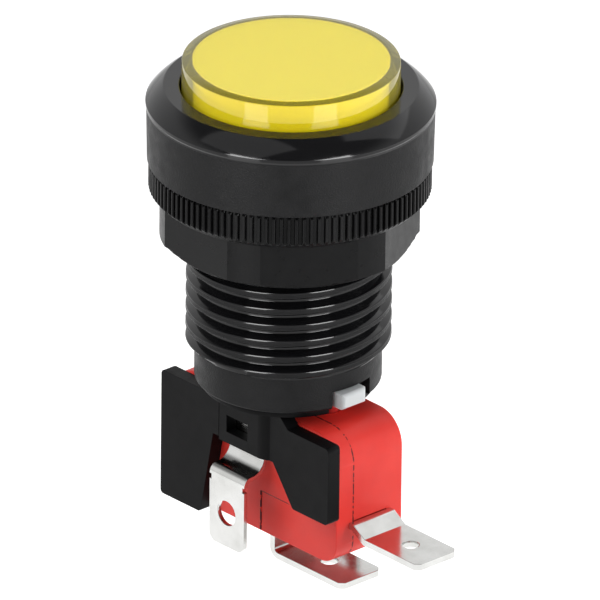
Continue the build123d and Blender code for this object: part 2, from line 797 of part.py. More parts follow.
# Common terminal: shelf inside the case, blade bent along the underside outside it
riser = terminal_thickness / 2
com_level = switch_bottom - com_drop
shelf_level = switch_bottom + com_drop + terminal_thickness
pivot_level = blade_bottom - blade_gap - riser
with BuildPart() as com_terminal:
    with BuildLine(Plane.XZ.offset(-terminal_center)) as com_outer:
        FilletPolyline(
            (com_place, switch_bottom),
            (com_place, com_level),
            (com_reach, com_level),
            radius=terminal_bend,
        )
    with BuildSketch(Plane(origin=com_outer.line @ 0, x_dir=(0, 1, 0), z_dir=com_outer.line % 0)):
        Rectangle(terminal_width, terminal_thickness)
    sweep(path=com_outer.line)
    com_tip = com_terminal.faces().sort_by(Axis.X)[-1]
    chamfer(com_tip.edges().filter_by(Axis.Z), terminal_tip_chamfer)
    with BuildSketch(Plane.XY.offset(com_level + terminal_thickness)):
        with Locations((com_reach - com_hole_inset, terminal_center)):
            Circle(terminal_hole_radius)
    extrude(amount=-2 * terminal_thickness, mode=Mode.SUBTRACT)
    with BuildSketch(Plane.XZ.offset(-terminal_center)):
        with BuildLine():
            shelf = Polyline(
                (-riser - blade_pivot, pivot_level),
                (-riser - blade_pivot, shelf_level - riser),
                (com_place - riser, shelf_level - riser),
                (com_place - riser, switch_bottom),
                (com_place + riser, switch_bottom),
                (com_place + riser, shelf_level + riser),
                (riser - blade_pivot, shelf_level + riser),
                (riser - blade_pivot, pivot_level),
            )
            ThreePointArc(shelf @ 1, (-blade_pivot, pivot_level + riser), shelf @ 0)
        make_face()
    extrude(amount=terminal_inner_width / 2, both=True)
com_terminal.part.label = "com_terminal"
export_step(com_terminal.part, "parts/com_terminal.step")


# Normally open terminal: strip through the end wall, jogged down to a blade with a hole
end_face = switch_length / 2
no_reach = end_face + no_length
no_jog_start = end_face + no_jog_gap
no_jog_end = no_jog_start + no_jog_run
with BuildPart() as no_terminal:
    with BuildSketch(Plane.XZ.offset(-terminal_center)):
        with BuildLine():
            Polyline(
                (no_inner, no_top),
                (end_face, no_top),
                (end_face, no_top - terminal_thickness),
                (no_inner, no_top - terminal_thickness),
                close=True,
            )
        make_face()
    extrude(amount=terminal_inner_width / 2, both=True)
    with BuildLine(Plane.XZ.offset(-terminal_center)) as no_outer:
        FilletPolyline(
            (end_face, no_level),
            (no_jog_start, no_level),
            (no_jog_end, no_level - no_jog_drop),
            (no_reach, no_level - no_jog_drop),
            radius=terminal_bend / 2,
        )
    with BuildSketch(Plane(origin=no_outer.line @ 0, x_dir=(0, 1, 0), z_dir=no_outer.line % 0)):
        Rectangle(terminal_width, terminal_thickness)
    sweep(path=no_outer.line)
    no_tip = no_terminal.faces().sort_by(Axis.X)[-1]
    chamfer(no_tip.edges().filter_by(Axis.Z), terminal_tip_chamfer)
    with BuildSketch(Plane.XY.offset(no_level)):
        with Locations((no_reach - no_hole_inset, terminal_center)):
            Circle(terminal_hole_radius)
    extrude(amount=-2 * no_jog_drop, mode=Mode.SUBTRACT)
no_terminal.part.label = "no_terminal"
export_step(no_terminal.part, "parts/no_terminal.step")

with BuildPart() as fixed_contact:
    with BuildSketch(Plane.XY.offset(no_top)):
        with Locations((contact_place, terminal_center)):
            Circle(contact_radius)
    extrude(amount=contact_height)
    fillet(fixed_contact.edges().sort_by(Axis.Z)[-1], contact_height / 3)
fixed_contact.part.label = "fixed_contact"
export_step(fixed_contact.part, "parts/fixed_contact.step")
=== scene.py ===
import math

import bmesh
import bpy
from bpy.props import FloatProperty, IntProperty, PointerProperty, StringProperty
from mathutils import Matrix, Vector


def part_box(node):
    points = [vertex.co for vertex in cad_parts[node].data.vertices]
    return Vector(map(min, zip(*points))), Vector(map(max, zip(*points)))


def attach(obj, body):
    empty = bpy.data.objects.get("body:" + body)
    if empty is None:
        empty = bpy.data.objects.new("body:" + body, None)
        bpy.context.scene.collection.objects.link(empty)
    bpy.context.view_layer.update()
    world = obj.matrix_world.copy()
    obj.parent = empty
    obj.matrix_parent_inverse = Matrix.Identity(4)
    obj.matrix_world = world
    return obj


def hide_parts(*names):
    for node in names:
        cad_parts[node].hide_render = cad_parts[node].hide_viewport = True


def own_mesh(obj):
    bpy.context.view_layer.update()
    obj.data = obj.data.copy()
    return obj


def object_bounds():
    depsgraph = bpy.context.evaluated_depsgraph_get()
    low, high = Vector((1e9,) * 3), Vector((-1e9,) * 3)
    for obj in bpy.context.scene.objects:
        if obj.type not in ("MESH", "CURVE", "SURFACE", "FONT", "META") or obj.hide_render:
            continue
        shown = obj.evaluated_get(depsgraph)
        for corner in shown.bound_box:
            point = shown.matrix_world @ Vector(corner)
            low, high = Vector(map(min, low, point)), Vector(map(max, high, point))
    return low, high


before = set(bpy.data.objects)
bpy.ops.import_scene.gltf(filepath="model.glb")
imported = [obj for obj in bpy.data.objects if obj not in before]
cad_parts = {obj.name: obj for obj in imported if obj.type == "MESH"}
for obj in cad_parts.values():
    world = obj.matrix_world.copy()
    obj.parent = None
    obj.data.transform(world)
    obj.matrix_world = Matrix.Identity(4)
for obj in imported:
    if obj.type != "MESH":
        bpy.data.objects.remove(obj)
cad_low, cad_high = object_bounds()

bl_info = {
    "name": "Arcade push button",
    "version": (1, 0, 0),
    "blender": (4, 5, 0),
    "location": "3D View > Sidebar > Push button",
    "description": "Dresses the packed solids of an illuminated push button and sets its stage",
    "category": "Object",
}

MM = 0.001
FULL_TURN = 2 * math.pi
# Points nearer than this, in metres, are one point
SAME_POINT = 0.0005 * MM
# Most of a noise lies between these values
NOISE_LOW = 0.3
NOISE_HIGH = 0.7
# Numbers of the Mix node's sockets, because several of them share a name
SHARE = 0
FLOAT_A, FLOAT_B, FLOAT_RESULT = 2, 3, 0
COLOUR_A, COLOUR_B, COLOUR_RESULT = 6, 7, 2

housing_low, housing_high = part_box("housing")
nut_low, nut_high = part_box("panel_nut")
lens_low, lens_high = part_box("lens_cap")
diffuser_low, diffuser_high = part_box("diffuser")
seat_low, seat_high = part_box("lens_seat")
spring_low, spring_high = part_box("return_spring")


class MouldingSettings(bpy.types.PropertyGroup):
    """Sizes of the mouldings and terminals that carry more detail than their solids"""

    segments: IntProperty(
        name="Segments",
        description="Columns round the axis of each turned piece",
        default=192,
        min=48,
    )
    thread_pitch: FloatProperty(
        name="Thread pitch",
        description="Rise of the barrel's thread in one turn",
        default=2.0 * MM,
        unit="LENGTH",
    )
    thread_depth: FloatProperty(
        name="Thread depth",
        description="From the thread's crest to its root",
        default=1.0 * MM,
        unit="LENGTH",
    )
    knurl_count: IntProperty(
        name="Knurl ridges", description="Ridges round the nut's flange", default=116, min=24
    )
    knurl_depth: FloatProperty(
        name="Knurl depth",
        description="From the knurl's crest to its groove",
        default=0.4 * MM,
        unit="LENGTH",
    )
    edge_width: FloatProperty(
        name="Edge width",
        description="Worn edge of the moulded pieces",
        default=0.12 * MM,
        unit="LENGTH",
    )
    stamped_edge: FloatProperty(
        name="Stamped edge",
        description="Rounded edge of the stamped terminals",
        default=0.07 * MM,
        unit="LENGTH",
    )


class ColourSettings(bpy.types.PropertyGroup):
    """Colours of the mouldings and metals, as sRGB hex"""

    black_abs: StringProperty(name="Black ABS", description="Housing and lens seat", default="#0C0C0E")
    black_nylon: StringProperty(
        name="Black nylon", description="Nut and lamp holder", default="#0B0B0C"
    )
    yellow: StringProperty(name="Yellow", description="Diffuser under the lens", default="#EEE306")
    # The clear cap's yellow tint is painted light, standing in for the diffuser's yellow seen through
    # the rim
    clear: StringProperty(name="Clear lens", description="Tint of the clear cap", default="#FBED52")
    white: StringProperty(
        name="Milky white", description="Plunger carrier and lamp base", default="#D4D8DA"
    )
    red: StringProperty(name="Red", description="Switch case and cover", default="#DE221B")
    tin: StringProperty(name="Tin plate", description="Terminals", default="#D6D6D4")


class StageSettings(bpy.types.PropertyGroup):
    """Camera and floor"""

    azimuth: FloatProperty(
        name="Azimuth",
        description="Camera's turn from the front",
        default=math.radians(47.5),
        subtype="ANGLE",
    )
    elevation: FloatProperty(
        name="Elevation",
        description="Camera's height over the object",
        default=math.radians(25.4),
        subtype="ANGLE",
    )
    roll: FloatProperty(
        name="Roll", description="Camera's lean", default=math.radians(0.64), subtype="ANGLE"
    )
    distance: FloatProperty(
        name="Distance", description="From the camera to the object", default=2.6, unit="LENGTH"
    )
    view_width: FloatProperty(
        name="View width",
        description="Width of the picture at the object",
        default=68.2 * MM,
        unit="LENGTH",
    )
    aim_height: FloatProperty(
        name="Aim height",
        description="Height of the picture's middle",
        default=-17.9 * MM,
        unit="LENGTH",
    )
    aim_right: FloatProperty(
        name="Aim to the right",
        description="The picture's middle from the axis",
        default=1.28 * MM,
        unit="LENGTH",
    )
    floor_gap: FloatProperty(
        name="Floor gap",
        description="From the lowest terminal to the floor",
        default=40.0 * MM,
        unit="LENGTH",
    )
    floor_size: FloatProperty(
        name="Floor size", description="Side of the floor", default=6.0, unit="LENGTH"
    )


def linear(code):
    """Turns an sRGB hex colour to linear red, green, blue and alpha"""
    parts = [int(code[i : i + 2], 16) / 255 for i in (1, 3, 5)]
    return tuple(c / 12.92 if c <= 0.04045 else ((c + 0.055) / 1.055) ** 2.4 for c in parts) + (1.0,)


def add_node(tree, kind, settings=None, inputs=None):
    """Adds a node; inputs hold plain values, or the sockets that feed them"""
    node = tree.nodes.new(kind)
    for key, value in (settings or {}).items():
        setattr(node, key, value)
    for key, value in (inputs or {}).items():
        if isinstance(value, bpy.types.NodeSocket):
            tree.links.new(value, node.inputs[key])
        else:
            node.inputs[key].default_value = value
    return node


def start_material(name):
    """A material with an empty tree and the object's own coordinates, in metres"""
    material = bpy.data.materials.new(name)
    material.use_nodes = True
    material.node_tree.nodes.clear()
    place = add_node(material.node_tree, "ShaderNodeTexCoord").outputs["Object"]
    return material, material.node_tree, place


def end_material(material, shader):
    """Leads the shader to the surface"""
    add_node(material.node_tree, "ShaderNodeOutputMaterial", inputs={"Surface": shader.outputs[0]})
    return material


def dark_seam_lines(tree, place, colour, seams):
    """Draws dark lines along seams over a colour, broken where a noise stays low

    Along the parting between case and cover the line is painted shade, standing for the shade in the
    closed seam. A seam is an axis, its place on it, the axis that it runs along, both its ends and the
    level of the noise up to which the line is broken. Such a line is about 0.05 mm wide; it is drawn at
    0.18 mm so that it shows.
    """
    half_width = 0.09 * MM
    fleck_size = 0.6 * MM
    axes = add_node(tree, "ShaderNodeSeparateXYZ", inputs={"Vector": place})
    flecks = add_node(
        tree, "ShaderNodeTexNoise", inputs={"Vector": place, "Scale": 1 / fleck_size, "Detail": 2.0}
    )
    for axis, at, along, start, end, break_level in seams:
        near = add_node(
            tree,
            "ShaderNodeMath",
            {"operation": "COMPARE"},
            {0: axes.outputs[axis], 1: at, 2: half_width},
        )
        span = add_node(
            tree,
            "ShaderNodeMath",
            {"operation": "COMPARE"},
            {0: axes.outputs[along], 1: (start + end) / 2, 2: (end - start) / 2},
        )
        unbroken = add_node(
            tree, "ShaderNodeMath", {"operation": "GREATER_THAN"}, {0: flecks.outputs["Fac"], 1: break_level}
        )
        line = add_node(
            tree,
            "ShaderNodeMath",
            {"operation": "MULTIPLY"},
            {0: near.outputs["Value"], 1: span.outputs["Value"]},
        )
        dark_line = add_node(
            tree,
            "ShaderNodeMath",
            {"operation": "MULTIPLY"},
            {0: line.outputs["Value"], 1: unbroken.outputs["Value"]},
        )
        # Dark line over the colour: along the parting it is painted shade in the closed seam
        lined = add_node(
            tree,
            "ShaderNodeMix",
            {"data_type": "RGBA"},
            {SHARE: dark_line.outputs["Value"], COLOUR_A: colour, COLOUR_B: linear("#4A0C0C")},
        )
        colour = lined.outputs[COLOUR_RESULT]
    return colour


def moulded_plastic(name, colours, roughness, grain, depth, ior=1.53, extra=None, seams=()):
    """A moulding: a little cloudy between two colours, its skin ripples and takes handling marks

    The skin of such a moulding is grained at 0.05 to 0.1 mm. Grains of up to half a millimetre are drawn
    coarser than that, so that they show in a picture of about 9 pixels to the millimetre.
    """
    cloud_size = 6 * MM
    mark_size = 1.5 * MM
    material, tree, place = start_material(name)
    cloud = add_node(
        tree, "ShaderNodeTexNoise", inputs={"Vector": place, "Scale": 1 / cloud_size, "Detail": 4.0}
    )
    tint = add_node(
        tree,
        "ShaderNodeMix",
        {"data_type": "RGBA"},
        {SHARE: cloud.outputs["Fac"], COLOUR_A: linear(colours[0]), COLOUR_B: linear(colours[1])},
    )
    colour = tint.outputs[COLOUR_RESULT]
    if seams:
        colour = dark_seam_lines(tree, place, colour, seams)
    marks = add_node(
        tree, "ShaderNodeTexNoise", inputs={"Vector": place, "Scale": 1 / mark_size, "Detail": 6.0}
    )
    gloss = add_node(
        tree,
        "ShaderNodeMapRange",
        inputs={
            "Value": marks.outputs["Fac"],
            "From Min": NOISE_LOW,
            "From Max": NOISE_HIGH,
            "To Min": roughness * 0.85,
            "To Max": roughness * 1.2,
        },
    )
    skin = add_node(
        tree,
        "ShaderNodeTexNoise",
        inputs={"Vector": place, "Scale": 1 / grain, "Detail": 3.0, "Roughness": 0.6},
    )
    bump = add_node(
        tree,
        "ShaderNodeBump",
        inputs={"Strength": 0.5, "Distance": depth, "Height": skin.outputs["Fac"]},
    )
    inputs = {
        "Base Color": colour,
        "Roughness": gloss.outputs["Result"],
        "Normal": bump.outputs["Normal"],
        "IOR": ior,
    }
    inputs.update(extra or {})
    return end_material(material, add_node(tree, "ShaderNodeBsdfPrincipled", inputs=inputs))


def rolled_metal(name, colours, roughness, streak):
    """Rolled or drawn metal: bright, with faint upright streaks and cloudy smudges

    The lines of the rolls are about 0.03 mm apart; they are drawn at the streak's width so that they
    show.
    """
    smudge_size = 2.5 * MM
    line_depth = 0.01 * MM
    stretch = (1.0, 1.0, 0.08)
    material, tree, place = start_material(name)
    along = add_node(tree, "ShaderNodeMapping", inputs={"Vector": place, "Scale": stretch})
    lines = add_node(
        tree,
        "ShaderNodeTexNoise",
        inputs={"Vector": along.outputs["Vector"], "Scale": 1 / streak, "Detail": 3.0},
    )
    smudge = add_node(
        tree, "ShaderNodeTexNoise", inputs={"Vector": place, "Scale": 1 / smudge_size, "Detail": 5.0}
    )
    tone = add_node(
        tree,
        "ShaderNodeMapRange",
        inputs={"Value": smudge.outputs["Fac"], "From Min": 0.35, "From Max": 0.75},
    )
    tint = add_node(
        tree,
        "ShaderNodeMix",
        {"data_type": "RGBA"},
        {SHARE: tone.outputs["Result"], COLOUR_A: linear(colours[0]), COLOUR_B: linear(colours[1])},
    )
    gloss = add_node(
        tree,
        "ShaderNodeMapRange",
        inputs={
            "Value": lines.outputs["Fac"],
            "From Min": NOISE_LOW,
            "From Max": NOISE_HIGH,
            "To Min": roughness * 0.7,
            "To Max": roughness * 1.3,
        },
    )
    bump = add_node(
        tree,
        "ShaderNodeBump",
        inputs={"Strength": 0.15, "Distance": line_depth, "Height": lines.outputs["Fac"]},
    )
    shader = add_node(
        tree,
        "ShaderNodeBsdfPrincipled",
        inputs={
            "Base Color": tint.outputs[COLOUR_RESULT],
            "Metallic": 1.0,
            "Roughness": gloss.outputs["Result"],
            "Normal": bump.outputs["Normal"],
        },
    )
    return end_material(material, shader)


def clear_plastic(name, tint, roughness, ior, clear=1.0):
    """Clear polished moulding: bends what lies under it, a faint ripple in the skin"""
    ripple_size = 5 * MM
    ripple_depth = 0.02 * MM
    material, tree, place = start_material(name)
    ripple = add_node(
        tree, "ShaderNodeTexNoise", inputs={"Vector": place, "Scale": 1 / ripple_size, "Detail": 1.0}
    )
    bump = add_node(
        tree,
        "ShaderNodeBump",
        inputs={"Strength": 0.1, "Distance": ripple_depth, "Height": ripple.outputs["Fac"]},
    )
    shader = add_node(
        tree,
        "ShaderNodeBsdfPrincipled",
        inputs={
            "Base Color": linear(tint),
            "Roughness": roughness,
            "IOR": ior,
            "Transmission Weight": clear,
            "Normal": bump.outputs["Normal"],
        },
    )
    return end_material(material, shader)


def rounded(points, steps=4):
    """Rounds the corners of an outline of (across, along, round) points, in millimetres"""
    outline = []
    for index, (across, along, size) in enumerate(points):
        here = Vector((across, along))
        if size == 0 or index in (0, len(points) - 1):
            outline.append((across, along))
            continue
        back = (Vector(points[index - 1][:2]) - here).normalized()
        ahead = (Vector(points[index + 1][:2]) - here).normalized()
        half = back.angle(ahead) / 2
        run = size / math.tan(half)
        middle = here + (back + ahead).normalized() * size / math.sin(half)
        first = here + back * run - middle
        last = here + ahead * run - middle
        turn = first.angle(last)
        for step in range(steps + 1):
            share = step / steps
            arm = (first * math.sin((1 - share) * turn) + last * math.sin(share * turn)) / math.sin(turn)
            outline.append(tuple(middle + arm))
    return outline


def turned_row(radius, height, angles):
    """One ring of points; radius and height are in millimetres"""
    return [
        Vector((radius * math.cos(angle), radius * math.sin(angle), height)) * MM for angle in angles
    ]


def skin_rows(mesh, rows):
    """Skins rows of points into quads; points that fall together are merged"""
    grid = [[mesh.verts.new(point) for point in row] for row in rows]
    for upper, lower in zip(grid, grid[1:]):
        for column in range(len(upper) - 1):
            mesh.faces.new((upper[column], upper[column + 1], lower[column + 1], lower[column]))
    bmesh.ops.remove_doubles(mesh, verts=mesh.verts, dist=SAME_POINT)
    bmesh.ops.dissolve_degenerate(mesh, edges=mesh.edges, dist=SAME_POINT)
    bmesh.ops.recalc_face_normals(mesh, faces=mesh.faces)


def columns_round(segments):
    """Angles of the columns round a turned piece, the first repeated at the end"""
    return [FULL_TURN * column / segments for column in range(segments + 1)]


def new_piece(name, mesh):
    """An object made of a bmesh, which is freed"""
    data = bpy.data.meshes.new(name)
    mesh.to_mesh(data)
    mesh.free()
    piece = bpy.data.objects.new(name, data)
    bpy.context.scene.collection.objects.link(piece)
    return piece


def skinned_piece(name, rows):
    """An object skinned over rows of points"""
    mesh = bmesh.new()
    skin_rows(mesh, rows)
    return new_piece(name, mesh)


def turned_piece(name, points, segments):
    """An object turned from an outline of (radius, height, round) points, in millimetres"""
    angles = columns_round(segments)
    return skinned_piece(name, [turned_row(r, z, angles) for r, z in rounded(points)])


def cutter(name, low, high):
    """A plain block between two corners in millimetres, to be cut from a piece"""
    mesh = bmesh.new()
    bmesh.ops.create_cube(mesh, size=1.0)
    size = Vector(high) - Vector(low)
    middle = (Vector(high) + Vector(low)) / 2
    for vert in mesh.verts:
        vert.co = Vector((vert.co.x * size.x, vert.co.y * size.y, vert.co.z * size.z)) + middle
        vert.co *= MM
    return new_piece(name, mesh)


def join_solids(piece, others, operation):
    """Cuts the others from a piece, or melts them into it, and deletes them"""
    for other in others:
        change = piece.modifiers.new("join", "BOOLEAN")
        change.operation = operation
        change.solver = "EXACT"
        change.object = other
    graph = bpy.context.evaluated_depsgraph_get()
    result = bpy.data.meshes.new_from_object(piece.evaluated_get(graph))
    piece.modifiers.clear()
    old = piece.data
    piece.data = result
    bpy.data.meshes.remove(old)
    for other in others:
        bpy.data.meshes.remove(other.data)


def paint(piece, *materials):
    """Gives a piece these materials alone"""
    piece.data.materials.clear()
    for material in materials:
        piece.data.materials.append(material)


def finish_piece(piece, body, node, crease):
    """Smooths a piece up to a crease angle, then ties it to its body and hides the node it stands for"""
    piece.data.shade_smooth()
    piece.data.set_sharp_from_angle(angle=math.radians(crease))
    weigh = piece.modifiers.new("weigh", "WEIGHTED_NORMAL")
    weigh.keep_sharp = True
    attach(piece, body)
    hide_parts(node)


def dress_node(name, material, edge):
    """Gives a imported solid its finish, and a rounded edge of the given width"""
    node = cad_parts[name]
    paint(node, material)
    weld = node.modifiers.new("weld", "WELD")
    weld.merge_threshold = 0.002 * MM
    flat = node.modifiers.new("flat", "DECIMATE")
    flat.decimate_type = "DISSOLVE"
    flat.angle_limit = math.radians(0.5)
    bevel = node.modifiers.new("edge", "BEVEL")
    bevel.width = edge
    bevel.segments = 2
    bevel.limit_method = "ANGLE"
    bevel.angle_limit = math.radians(35)
    weigh = node.modifiers.new("weigh", "WEIGHTED_NORMAL")
    weigh.keep_sharp = True


class ARCADE_OT_housing(bpy.types.Operator):
    """Builds the black housing: bezel cup, screw thread and notched collar"""

    bl_idname = "arcade_button.housing"
    bl_label = "Build housing"

    def execute(self, context):
        sizes = context.scene.arcade_moulding
        colours = context.scene.arcade_colours
        angles = columns_round(sizes.segments)
        bezel = housing_high.x / MM
        top = housing_high.z / MM
        bottom = housing_low.z / MM
        pitch = sizes.thread_pitch / MM
        crest = 11.75
        root = crest - sizes.thread_depth / MM
        first_root = 1.34
        thread_end = -22.9
        run_out = 1.6
        collar = 10.7
        bore = 9.4
        cup = 12.65
        cup_floor = 1.5
        ledge = 7.45
        ledge_top = -13.0
        ledge_bottom = -14.5
        bevel_width = 2.0
        bevel_foot = 7.2
        bevel_bulge = 0.12
        bevel_steps = 8

        # The bevel swells a little, so that a reflection narrows towards both its edges
        bevel_start = Vector((bezel - bevel_width, top))
        bevel_end = Vector((bezel, bevel_foot))
        slope = bevel_end - bevel_start
        bulge = Vector((-slope.y, slope.x)).normalized() * bevel_bulge
        bevel = []
        for step in range(bevel_steps + 1):
            share = step / bevel_steps
            point = bevel_start.lerp(bevel_end, share) + bulge * (4 * share * (1 - share))
            bevel.append((point.x, point.y))
        cup_side = rounded(
            [
                (bore, cup_floor, 0),
                (cup, cup_floor, 0.2),
                (cup, top, 0.16),
                (bevel[0][0], top, 0.12),
                bevel[1] + (0,),
            ]
        )
        # Under the bevel a shallow groove parts the polished band from the drafted matt side
        band_foot = 6.85
        groove = 6.62
        groove_depth = 0.13
        side_top = 6.42
        side_inset = 0.1
        foot_inset = 0.23
        edge_side = rounded(
            [
                bevel[-2] + (0,),
                (bezel, bevel_foot, 0.12),
                (bezel, band_foot, 0.06),
                (bezel - groove_depth, groove, 0.06),
                (bezel - side_inset, side_top, 0.05),
                (bezel - foot_inset, 0.0, 0.12),
                (root, 0.0, 0),
            ]
        )
        rows = [turned_row(r, z, angles) for r, z in cup_side + bevel[2:-2] + edge_side]

        # One ridge of the thread as (drop, radius, round); it climbs by a pitch round the barrel, and
        # runs out to the root at both ends
        ridge = rounded(
            [
                (0.0, root, 0),
                (0.16, root, 0.1),
                (0.69, crest, 0.22),
                (1.31, crest, 0.09),
                (1.84, root, 0.1),
                (pitch, root, 0),
            ]
        )[:-1]
        turns = math.ceil((first_root - thread_end) / pitch) + 1
        for turn in range(turns + 1):
            for drop, radius in ridge:
                row = []
                for angle in angles:
                    height = first_root - pitch * turn - drop + pitch * angle / FULL_TURN
                    height = min(0.0, max(thread_end, height))
                    lead = root + run_out * min(-height, height - thread_end)
                    row += turned_row(min(radius, lead), height, [angle])
                rows.append(row)
        sleeve = rounded(
            [
                (root, thread_end, 0),
                (collar, thread_end - 0.02, 0),
                (collar, bottom, 0.35),
                (bore, bottom, 0.1),
                (bore, ledge_bottom, 0),
                (ledge, ledge_bottom, 0),
                (ledge, ledge_top, 0),
                (bore, ledge_top, 0),
                (bore, cup_floor, 0),
            ]
        )
        rows += [turned_row(r, z, angles) for r, z in sleeve]
        piece = skinned_piece("housing_moulding", rows)

        # The notch lets the carrier's foot out of the collar, the slot lets its leg past the ledge
        notch = cutter("notch", (7.2, -2.6, bottom - 1.0), (12.0, 3.3, bottom + 2.23))
        slot = cutter("slot", (5.9, -2.4, ledge_bottom - 0.5), (bore + 0.05, 2.4, ledge_top + 0.5))
        join_solids(piece, [notch, slot], "DIFFERENCE")

        # ABS from a polished tool: deep black, sharp reflections with a faint ripple
        polished = moulded_plastic(
            "ABS moulded in a polished tool",
            (colours.black_abs, "#111113"),
            roughness=0.1,
            grain=2.5 * MM,
            depth=0.006 * MM,
            extra={"Specular IOR Level": 0.28},
        )
        # ABS from a spark-eroded tool: dark grey, soft broad highlights on a fine grain.
        # The real grit is about 0.05 mm; it is drawn at 0.2 mm so that it shows.
        matt = moulded_plastic(
            "ABS moulded in a spark-eroded tool",
            ("#101011", "#171718"),
            roughness=0.42,
            grain=0.2 * MM,
            depth=0.09 * MM,
            extra={"Specular IOR Level": 0.12},
        )
        # The bezel's side, the tops of the thread's ridges and the collar are matt
        paint(piece, polished, matt)
        matt_low = -0.1
        matt_high = 6.5
        for face in piece.data.polygons:
            height = face.center.z / MM
            reach = face.center.xy.length / MM
            side = matt_low < height < matt_high and reach > cup
            ridge_top = height < 0 and reach > crest - 0.005
            face.material_index = 1 if side or ridge_top or height < thread_end else 0
        finish_piece(piece, "base", "housing", crease=32)
        return {"FINISHED"}


class ARCADE_OT_nut(bpy.types.Operator):
    """Builds the panel nut: knurled flange over a hexagon with turned corners"""

    bl_idname = "arcade_button.nut"
    bl_label = "Build nut"

    def execute(self, context):
        sizes = context.scene.arcade_moulding
        colours = context.scene.arcade_colours
        crest = nut_high.x / MM
        top = nut_high.z / MM
        bottom = nut_low.z / MM
        flange_height = 4.05
        step = top - flange_height
        depth = sizes.knurl_depth / MM
        bore = 11.85
        head_chamfer = 0.25
        head_slope = 1.25
        foot_chamfer = 0.9

        # One knurl ridge with rounded shoulders, as (share of its pitch, share of its depth)
        ridge = [
            (0.0, 0.35), (0.06, 0.1), (0.14, 0.0), (0.34, 0.0),
            (0.42, 0.1), (0.48, 0.35), (0.53, 1.0), (0.95, 1.0),
        ]
        columns = [
            (FULL_TURN * (number + share) / sizes.knurl_count, cut * depth)
            for number in range(sizes.knurl_count)
            for share, cut in ridge
        ]
        columns.append((FULL_TURN, ridge[0][1] * depth))
        angles = [angle for angle, cut in columns]
        heights = [top - drop for drop in (0.0, 0.06, 0.2, 1.6)]
        heights += [step + rise for rise in (foot_chamfer, 0.75, 0.6, 0.4, 0.2, 0.0)]
        rows = [turned_row(bore, top, angles)]
        for height in heights:
            foot = max(0.0, step + foot_chamfer - height)
            head = max(0.0, head_chamfer - (top - height) * head_slope)
            row = []
            for angle, cut in columns:
                row += turned_row(crest - max(cut, foot + head), height, [angle])
            rows.append(row)
        rows.append(turned_row(bore, step, angles))
        rows.append(rows[0])
        piece = skinned_piece("panel_nut_moulding", rows)

        # The hexagon: six flats with columns close together, and round corners between them
        apothem = 13.7
        corner = 14.8
        facet = math.radians(27.0)
        flat_steps = 8
        corner_steps = 6
        half = math.acos(apothem / corner)
        gap = math.pi / 3 - 2 * half
        spread = []
        for side in range(6):
            middle = facet + side * math.pi / 3
            spread += [middle - half + 2 * half * k / flat_steps for k in range(flat_steps + 1)]
            spread += [middle + half + gap * k / corner_steps for k in range(1, corner_steps)]
        spread.append(spread[0] + FULL_TURN)

        def reach(angle):
            turn = (angle - facet + math.pi / 6) % (math.pi / 3) - math.pi / 6
            return min(apothem / math.cos(turn), corner)

        # A turned cone takes the corners off at the foot; the top sinks into the flange
        sunk = step + 0.3
        cone_height = 0.7
        cone_inset = 0.08
        cone_steps = 8
        lead_in = 0.3
        levels = [sunk, bottom + 0.75]
        levels += [bottom + cone_height * k / cone_steps for k in range(cone_steps, -1, -1)]
        hex_rows = [turned_row(bore, sunk, spread)]
        for height in levels:
            cone = apothem - cone_inset
            cone += (height - bottom) * (corner - apothem + cone_inset) / cone_height
            row = []
            for angle in spread:
                row += turned_row(min(reach(angle), cone), height, [angle])
            hex_rows.append(row)
        hex_rows.append(turned_row(bore + lead_in, bottom, spread))
        hex_rows.append(turned_row(bore, bottom + lead_in, spread))
        hex_rows.append(hex_rows[0])
        join_solids(piece, [skinned_piece("hexagon", hex_rows)], "UNION")

        # Nylon moulding: even black with a soft sheen. Its skin ripples by about 0.1 mm, drawn at
        # 0.35 mm so that it shows.
        nylon = moulded_plastic(
            "Nylon moulded, semi-matt",
            (colours.black_nylon, "#111112"),
            roughness=0.3,
            grain=0.35 * MM,
            depth=0.012 * MM,
            extra={"Specular IOR Level": 0.1},
        )
        paint(piece, nylon)
        finish_piece(piece, "nut", "panel_nut", crease=18)
        return {"FINISHED"}


